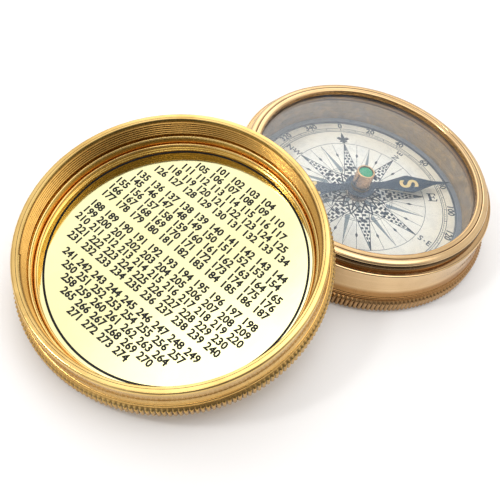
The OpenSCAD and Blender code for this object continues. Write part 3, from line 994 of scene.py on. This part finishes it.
# One half is the outline of an arm and of the hub between the arms. The other half is that turned round.
def makeNeedle(sizes):
    bm = bmesh.new()
    arm = bow(*sizes["waist"]) + bow(*sizes["belly"]) + bow(*sizes["neck"]) + [sizes["point"]]
    waist = math.degrees(math.asin(arm[0][1] / sizes["hub"]))
    half = [(x, -y) for x, y in arm] + arm[::-1] + arc((0, 0), sizes["hub"], waist, 180 - waist, count=44)
    outline = [bm.verts.new((way * x, way * y, 0)) for way in (1, -1) for x, y in half]
    hole = bmesh.ops.create_circle(bm, segments=48, radius=sizes["hole"])
    inner = list({edge for vert in hole["verts"] for edge in vert.link_edges})
    edges = joinInLoop(bm, outline) + inner
    bmesh.ops.triangle_fill(bm, use_beauty=True, use_dissolve=False, edges=edges)
    bmesh.ops.dissolve_limit(bm, angle_limit=0.01, verts=bm.verts, edges=bm.edges)
    thickenInk(bm, sizes["bottom"], sizes["top"] - sizes["bottom"])
    nearlySquare = math.radians(69)
    rims = [edge for edge in bm.edges if edge.is_manifold and edge.calc_face_angle() > nearlySquare]
    bmesh.ops.bevel(bm, geom=rims, offset=sizes["edge"], affect="EDGES", segments=2, profile=0.5, material=-1)
    steel = makeBluedSteel(sizes)
    addPiece("needle_blade_blued", bm, needlePlace, steel, "needle", ["needle_blade"])


def makeNeedleLetters(sizes, level):
    bm = bmesh.new()
    for letter, way in (("S", 1), ("N", -1)):
        spot = Matrix.Translation((way * sizes["reach"], 0, 0)) @ Matrix.Rotation(-way * math.pi / 2, 4, "Z")
        stampText(bm, letter, sizes["size"], spot @ Matrix.Diagonal(sizes["shape"]), bold=sizes["bold"],
                  resolution=8)
    thickenInk(bm, level)
    paint = makeInk("letterPaint", needlePlace, sizes["paint"], sizes["worn"], sizes["roughness"])
    addPiece("needle_letters", bm, needlePlace, paint, "needle")


makeNeedle(needleBlade)
makeNeedleLetters(needleLetters, needleBlade["top"])

capFinish = dict(
    caseFinish, bright=(0.68, 0.44, 0.28), warm=(0.54, 0.33, 0.20), deep=(0.80, 0.52, 0.22),
    dark=(0.03, 0.03, 0.02), fineness=12.0, spots=0.0, roughness=0.2, ageing=0.3,
    zones=(
        (2.5, 2.7, 6.2, 6.9, 0.3, "deep", 0.9),
        # painted highlight on the rim round the jewel
        (2.1, 2.6, 11.86, 12.0, 0.05, "deep", 0.6),
        # painted shade on the inner wall of the jewel's recess
        (1.9, 2.09, 11.0, 11.85, 0.03, "dark", 0.9),
    ),
)
capBrass = makeBrass("capBrass", casePlace, capFinish)
needleCap = {
    "profile": [(0.9, 5.5), (1.5, 5.5), (1.5, 6.2), (2.65, 6.2), (2.5, 11.8), (2.35, 11.95), (2.05, 11.95),
                (2.05, 10.25), (0.9, 10.25)],
    "rounds": [(0.06, 3, (3, 5, 6)), (0.04, 2, (4,))],
}
jewel = {
    "profile": [(0, 10.85), (0.6, 10.25), (2.0, 10.25), (2.0, 11.45), (1.85, 11.6), (0, 11.6)],
    "rounds": [(0.04, 2, (3, 4))],
    "green": (0.001, 0.30, 0.115), "light": (0.006, 0.40, 0.18), "deep": (0.001, 0.05, 0.03),
    "rim": (1.75, 1.95),  # radii between which it turns dark, painted shade of the cap's rim on the jewel
    "roughness": 0.12, "fadeRoughness": 0.05,
}


def makeCap(sizes):
    bm = turned(sizes["profile"], steps=96, rounds=sizes["rounds"])
    addPiece("needle_cap_turned", bm, casePlace, capBrass, "needle", ["needle_cap"])


def makeJewel(sizes):
    material, tree, inputs, where = startMaterial("greenJewel", casePlace)
    parts = useGroup(tree, latheMarks, Place=where, Fineness=1.0)
    grain = useGroup(tree, printGrain, Place=where)
    colour = mixColour(tree, grain["Fibre"], sizes["green"], sizes["light"])
    # painted shade of the cap's rim towards the edge
    colour = mixColour(tree, mapRange(tree, parts["Radius"], *sizes["rim"]), colour, sizes["deep"])
    roughness = scaled(tree, grain["Fade"], sizes["fadeRoughness"], sizes["roughness"])
    feed(tree, inputs, colour=colour, roughness=roughness)
    bm = turned(sizes["profile"], steps=72, closed=False, rounds=sizes["rounds"])
    addPiece("needle_jewel_green", bm, casePlace, material, "needle", ["needle_jewel"])


makeCap(needleCap)
makeJewel(jewel)
dressNode("needle_washer", capBrass)
print("needle made")

# The lid
lidFinish = dict(
    caseFinish, bright=(0.86, 0.61, 0.235), warm=(0.62, 0.37, 0.105), deep=(0.68, 0.33, 0.075),
    # thread is the tone of the painted shade on the inner wall
    thread=(0.58, 0.30, 0.06), ageing=0.6, roughness=0.13,
    zones=(
        (36.6, 37.05, 0.5, 3.4, 0.35, "dark", 0.85),
        # painted darker reflection of the shaded floor on the bead
        (35.5, 36.6, 3.9, 5.0, 0.8, "deep", 0.4),
        (37.3, 37.6, 0.5, 3.4, 0.1, "warm", 0.8),
        # painted shade in the step between bead and cove
        (35.9, 36.04, 4.80, 4.96, 0.05, "dark", 0.7),
        # painted darker reflection on the outer wall, a little rougher too
        (35.6, 36.7, 4.0, 9.6, 0.3, "warm", 0.45),
        # painted shade in the groove
        (35.3, 35.6, 6.7, 7.1, 0.12, "dark", 0.6),
        # painted shade on the threaded inner wall
        (33.5, 34.1, 4.7, 9.7, 0.15, "thread", 0.75),
        # painted shade, darker, low on the inner wall
        (33.84, 34.1, 4.6, 9.6, 0.1, "dark", 0.5),
        # painted shade in the recess under the bead
        (33.0, 33.92, 1.2, 3.75, 0.1, "deep", 0.9),
        # painted highlight on the top of the bead
        (33.0, 33.3, 4.1, 4.5, 0.1, "bright", 0.9),
        # painted shade where the ring meets the plate
        (32.1, 33.05, 1.6, 1.85, 0.1, "deep", 0.85),
        # painted shade in the groove on the lip
        (34.53, 34.61, 10.2, 10.42, 0.03, "dark", 0.9),
        # painted shade at the inner edge of the mouth
        (33.95, 34.02, 9.9, 10.25, 0.05, "dark", 0.75),
    ),
)
lidBrass = makeBrass("lidBrass", lidPlace, lidFinish)
lidDisc = {
    "outer": [(0, 0), (36.5, 0), (37.5, 0.62), (37.5, 3.3), (36.5, 3.92), (33.9, 3.92)],
    "bead": ((33.475, 3.995), 0.425),
    "floor": [(33.05, 1.15), (0, 1.15)],
}
lidWall = {
    "bead": ((36.17, 4.35), 0.43),
    "line": [(35.97, 4.78), (35.97, 4.98)],
    "cove": ((36.17, 4.98), (35.83, 6.48), 0.065),
    "groove": [(35.83, 6.66), (35.42, 6.84), (35.42, 6.96), (35.83, 7.14)],
    "lip": ((35.23, 9.86), 0.6),
    "mouth": [(34.62, 10.46), (34.57, 10.35), (34.52, 10.46), (34.12, 10.46), (34.0, 10.34), (33.98, 9.75),
              (33.98, 3.92)],
    "thread": {"radius": 33.98, "depth": -0.34, "pitch": 0.78, "start": 4.8, "turns": 5.9},
}
lidPlateRing = {
    "foot": [(32.2, plateTop), (33.0, plateTop)],
    "round": ((32.6, 1.95), 0.4),
}


def makeLidDisc(sizes):
    points = sizes["outer"] + arc(*sizes["bead"], 0, 180) + sizes["floor"]
    bm = milledDisc(points, milledEdge)
    addPiece("lid_disc_milled", bm, lidPlace, lidBrass, "lid", ["lid_disc"])


def makeLidWall(sizes):
    points = (arc(*sizes["bead"], -90, 90) + sizes["line"] + bow(*sizes["cove"]) + sizes["groove"]
              + arc(*sizes["lip"], 0, 90) + sizes["mouth"])
    bm = turned(points)
    windThread(bm, sizes["thread"])
    addPiece("lid_wall_turned", bm, lidPlace, lidBrass, "lid", ["lid_wall"])


def makeLidPlateRing(sizes):
    bm = turned(sizes["foot"] + arc(*sizes["round"], 0, 180))
    addPiece("lid_plate_ring_turned", bm, lidPlace, lidBrass, "lid", ["lid_plate_ring"])


lidPlate = {
    "profile": [(0, 1.15), (33.0, 1.15), (33.0, plateTop), (0, plateTop)],
    "polish": (0.98, 0.95, 0.55), "warm": (0.95, 0.89, 0.43),
    "tarnished": 0.35, "roughness": 0.06, "smudgeRoughness": 0.03, "waveDepth": 0.004,
    "ink": (0.004, 0.004, 0.006), "inkWorn": (0.02, 0.018, 0.012), "inkRoughness": 0.5,
    "border": (31.05, 0.54), "borderShift": (0.12, 0.6, 0),  # the printed ring lies a little off the middle
}
plateNumbers = {
    "first": 101, "size": 2.65, "bold": 0.1, "halfHeight": 0.9,
    "turn": 98.0,  # how the rows lie on the plate
    "blocks": 4, "blockRows": 5, "rowStep": 2.45, "blockStep": 1.3,
    "reach": 28.6,  # the radius that the rows stay within
    "pace": 4.9,  # from one number to the next
}


def makePolish(look):
    material, tree, inputs, where = startMaterial("platePolish", lidPlace)
    aged = useGroup(tree, handling, Place=where, Spots=0.0)
    grain = useGroup(tree, printGrain, Place=where)
    colour = mixColour(tree, scaled(tree, aged["Tarnish"], look["tarnished"]), look["polish"], look["warm"])
    roughness = scaled(tree, aged["Smudge"], look["smudgeRoughness"], look["roughness"])
    feed(tree, inputs, colour=colour, roughness=roughness, metallic=1.0,
         normal=bump(tree, grain["Fade"], look["waveDepth"]))
    return material


# Running numbers in rows as long as the plate has room for
def stampNumbers(bm, table):
    turn = Matrix.Rotation(math.radians(table["turn"]), 4, "Z")
    rows = table["blocks"] * table["blockRows"]
    height = (table["rowStep"] * (rows - 1) + table["blockStep"] * (table["blocks"] - 1)) / 2
    number = table["first"]
    for row in range(rows):
        chord = 2 * math.sqrt(table["reach"] ** 2 - (abs(height) + table["halfHeight"]) ** 2)
        count = int(chord / table["pace"])
        for column in range(count):
            along = (column - (count - 1) / 2) * table["pace"]
            spot = turn @ Matrix.Translation((along, height, 0))
            stampText(bm, str(number), table["size"], spot, bold=table["bold"], resolution=2)
            number += 1
        lastInBlock = row % table["blockRows"] == table["blockRows"] - 1
        height -= table["rowStep"] + (table["blockStep"] if lastInBlock else 0)


def makeLidPlate(sizes, table):
    plate = turned(sizes["profile"], steps=192, closed=False)
    addPiece("lid_plate_polished", plate, lidPlace, makePolish(sizes), "lid", ["lid_plate"])
    bm = bmesh.new()
    inkRing(bm, *sizes["border"])
    bmesh.ops.translate(bm, vec=sizes["borderShift"], verts=bm.verts)
    stampNumbers(bm, table)
    thickenInk(bm, plateTop)
    ink = makeInk("plateInk", lidPlace, sizes["ink"], sizes["inkWorn"], sizes["inkRoughness"])
    addPiece("lid_plate_numbers", bm, lidPlace, ink, "lid")


makeLidDisc(lidDisc)
makeLidWall(lidWall)
makeLidPlateRing(lidPlateRing)
makeLidPlate(lidPlate, plateNumbers)
print("lid made")

# Floor, lamp and room
floorSheet = {
    "halfWidth": 3,  # metres
    "drop": 0.02,  # millimetres
    "white": (0.93, 0.925, 0.925), "fibre": (0.8, 0.8, 0.8), "fibreShare": 0.02,
    "roughness": 0.7, "specular": 0.2,
    "glow": 0.05,  # only for what is seen, so that the sheet looks white
}
room = {
    "tint": (1.0, 0.985, 0.97),
    "base": 0.62,
    # extra light from the far side: its strength, how much height adds, where it starts and is full
    "behind": 0.26, "behindLean": 0.8, "behindEdge": (-0.3, 1.0),
    # more or less light round a direction: turn from x, elevation, half-angles of core and rim, strength
    "glows": {
        "ceiling": (140, 66, 18, 32, 0.3),
        "skylight": (55, 74, 10, 24, 1.6),
        "panel": (190, 78, 6, 16, 0.8),
        "window": (116, 40, 8, 26, 1.2),
        "front": (305, 36, 25, 50, -0.42),
        "overShoulder": (262, 64, 4, 12, 2.3),
    },
    "seenAs": 1.0,  # the camera sees plain white past the floor
}
leftWindow = {"place": (-0.58, -0.33, 0.74), "aim": (0, -0.02, 0), "width": 0.12, "watts": 1.65}


def makeFloor(sheet):
    bm = bmesh.new()
    bmesh.ops.create_grid(bm, x_segments=1, y_segments=1, size=sheet["halfWidth"])
    bmesh.ops.translate(bm, vec=(0, 0, -sheet["drop"] * mm), verts=bm.verts)
    mesh = bpy.data.meshes.new("floor")
    bm.to_mesh(mesh)
    bm.free()
    floor = bpy.data.objects.new("floor", mesh)
    scene.collection.objects.link(floor)
    material, tree, inputs, where = startMaterial("floorSheet", casePlace)
    grain = useGroup(tree, printGrain, Place=where)
    fibre = scaled(tree, grain["Fibre"], sheet["fibreShare"])
    colour = mixColour(tree, fibre, sheet["white"], sheet["fibre"])
    rays = addNode(tree, "LightPath").outputs
    seen = mathNode(tree, "MAXIMUM", rays["Is Camera Ray"], rays["Is Glossy Ray"])
    seen = mathNode(tree, "MAXIMUM", seen, rays["Is Transmission Ray"])
    feed(tree, inputs, colour=colour, roughness=sheet["roughness"], specular=sheet["specular"],
         glow=scaled(tree, seen, sheet["glow"]))
    inputs["Emission Color"].default_value = (1, 1, 1, 1)
    mesh.materials.append(material)


def makeLamp(name, look):
    data = bpy.data.lights.new(name, "AREA")
    data.shape = "SQUARE"
    data.size = look["width"]
    data.energy = look["watts"]
    lamp = bpy.data.objects.new(name, data)
    lamp.location = look["place"]
    towards = Vector(look["aim"]) - Vector(look["place"])
    lamp.rotation_euler = towards.to_track_quat("-Z", "Y").to_euler()
    scene.collection.objects.link(lamp)


def makeRoom(look):
    world = bpy.data.worlds.new("studio")
    scene.world = world
    world.use_nodes = True
    tree = world.node_tree
    tree.nodes.clear()
    aim = addNode(tree, "TexCoord").outputs["Generated"]
    parts = addNode(tree, "SeparateXYZ", {0: aim}).outputs
    behind = mapRange(tree, scaled(tree, parts["Z"], look["behindLean"], parts["Y"]), *look["behindEdge"])
    light = scaled(tree, behind, look["behind"], look["base"])
    for turn, rise, core, rim, strength in look["glows"].values():
        turn, rise = math.radians(turn), math.radians(rise)
        towards = (math.cos(turn) * math.cos(rise), math.sin(turn) * math.cos(rise), math.sin(rise))
        near = addNode(tree, "VectorMath", {0: aim, 1: towards}, operation="DOT_PRODUCT").outputs["Value"]
        glow = mapRange(tree, near, math.cos(math.radians(rim)), math.cos(math.radians(core)))
        light = scaled(tree, glow, strength, light)
    seen = addNode(tree, "LightPath").outputs["Is Camera Ray"]
    light = addNode(tree, "Mix", {0: seen, 2: light, 3: look["seenAs"]}).outputs[0]  # 2 and 3 take numbers
    back = addNode(tree, "Background", {"Color": withAlpha(look["tint"]), "Strength": light})
    tree.links.new(back.outputs[0], addNode(tree, "OutputWorld").inputs["Surface"])


makeFloor(floorSheet)
makeRoom(room)
makeLamp("leftWindow", leftWindow)
print("studio lit")
